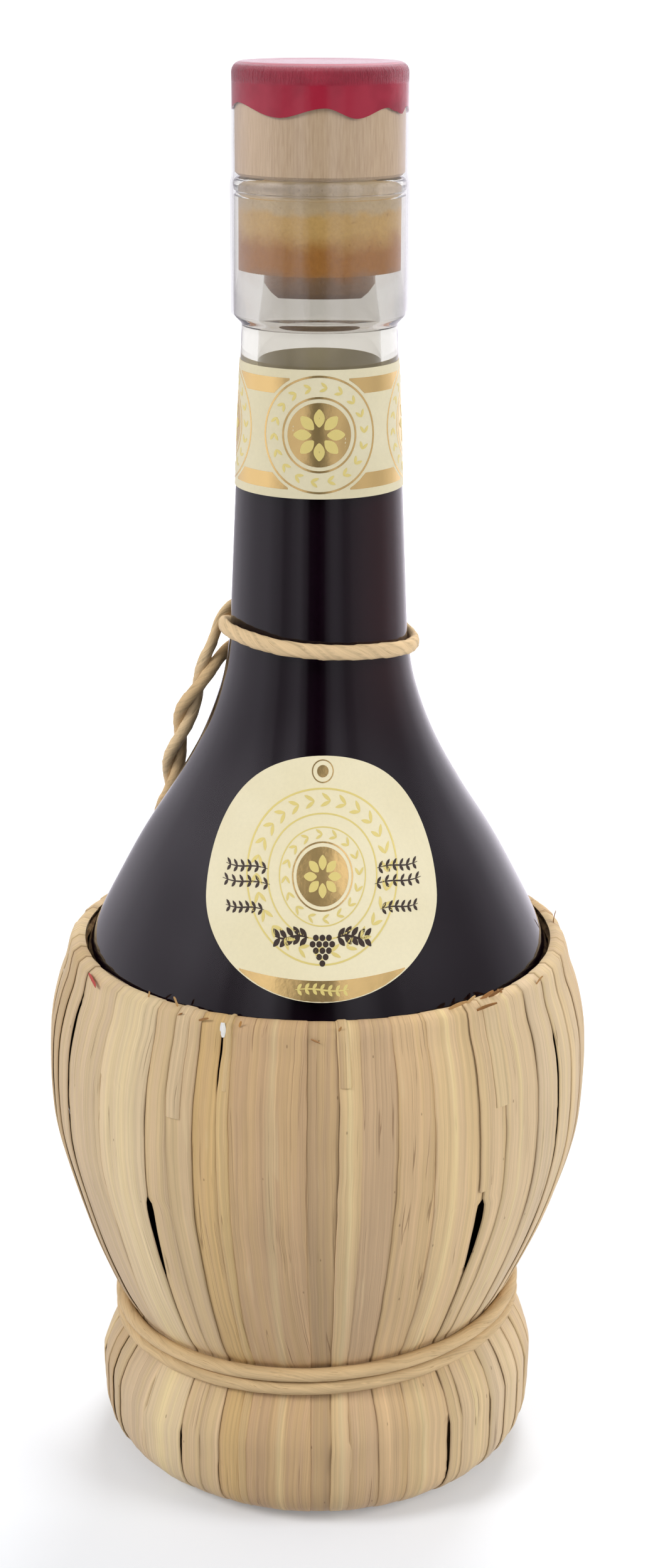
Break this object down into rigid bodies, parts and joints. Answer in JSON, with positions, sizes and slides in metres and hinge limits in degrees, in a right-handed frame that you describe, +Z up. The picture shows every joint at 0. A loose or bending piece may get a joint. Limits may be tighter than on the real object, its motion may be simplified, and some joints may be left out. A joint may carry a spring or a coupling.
{
  "type": "straw covered bottle",
  "caption": "Glass flask in a dress of folded straw blades, with a twisted cord round its neck, a wooden bar-top stopper and a clear shrink capsule with a red top.",
  "frame": {"origin": "on the table, under the axis of the flask", "axes": "+Z up along the flask's axis, -Y towards the front with the shoulder label"},
  "size_m": [0.1006, 0.1008, 0.26],
  "materials": {
    "glass": "clear, polished",
    "condiment": "near black liquid with a red-brown tint",
    "beech": "turned, fine grained, unvarnished",
    "cork": "pressed cork, stained darker towards its lower end",
    "red_film": "glossy wax-like film with a dripping edge",
    "clear_film": "clear glossy shrink film",
    "label_paper": "matte cream paper with gold foil ornament",
    "straw_tan": "dry straw blade, fibrous",
    "straw_cream": "dry straw blade, fibrous, pale",
    "straw_brown": "dry straw blade, fibrous, dark",
    "twine": "twisted paper twine"
  },
  "bodies": {
    "bottle": {"glass_bottle": "glass", "condiment": "condiment", "neck_label": "label_paper", "shoulder_label": "label_paper", "rim_hoop": "straw_brown", "base_ring": "straw_tan", "waist_cord": "twine", "neck_cord_loop": "twine", "neck_cord_strand": "twine", "straw_blade_01": "straw_tan", "straw_blade_02": "straw_cream", "straw_blade_03": "straw_brown", "straw_blade_04": "straw_tan", "straw_blade_05": "straw_cream", "straw_blade_06": "straw_brown", "straw_blade_07": "straw_tan", "straw_blade_08": "straw_cream", "straw_blade_09": "straw_brown", "straw_blade_10": "straw_tan", "straw_blade_11": "straw_cream", "straw_blade_12": "straw_brown", "straw_blade_13": "straw_tan", "straw_blade_14": "straw_cream", "straw_blade_15": "straw_brown", "straw_blade_16": "straw_tan", "straw_blade_17": "straw_cream", "straw_blade_18": "straw_brown", "straw_blade_19": "straw_tan", "straw_blade_20": "straw_cream", "straw_blade_21": "straw_brown", "straw_blade_22": "straw_tan", "straw_blade_23": "straw_cream", "straw_blade_24": "straw_brown", "straw_blade_25": "straw_tan", "straw_blade_26": "straw_cream", "straw_blade_27": "straw_brown", "straw_blade_28": "straw_tan", "straw_blade_29": "straw_cream", "straw_blade_30": "straw_brown", "straw_blade_31": "straw_tan", "straw_blade_32": "straw_cream", "straw_blade_33": "straw_brown", "straw_blade_34": "straw_tan", "straw_blade_35": "straw_cream", "straw_blade_36": "straw_brown"},
    "stopper": {"stopper_head": "beech", "stopper_shank": "cork"},
    "capsule": {"capsule_red": "red_film", "capsule_clear": "clear_film"}
  },
  "joints": [
    {"name": "stopper_pull", "type": "slide", "parent": "bottle", "child": "stopper", "axis": [0, 0, 1], "range_m": [0, 0.03]},
    {"name": "capsule_lift", "type": "slide", "parent": "stopper", "child": "capsule", "axis": [0, 0, 1], "range_m": [0, 0.046]}
  ]
}
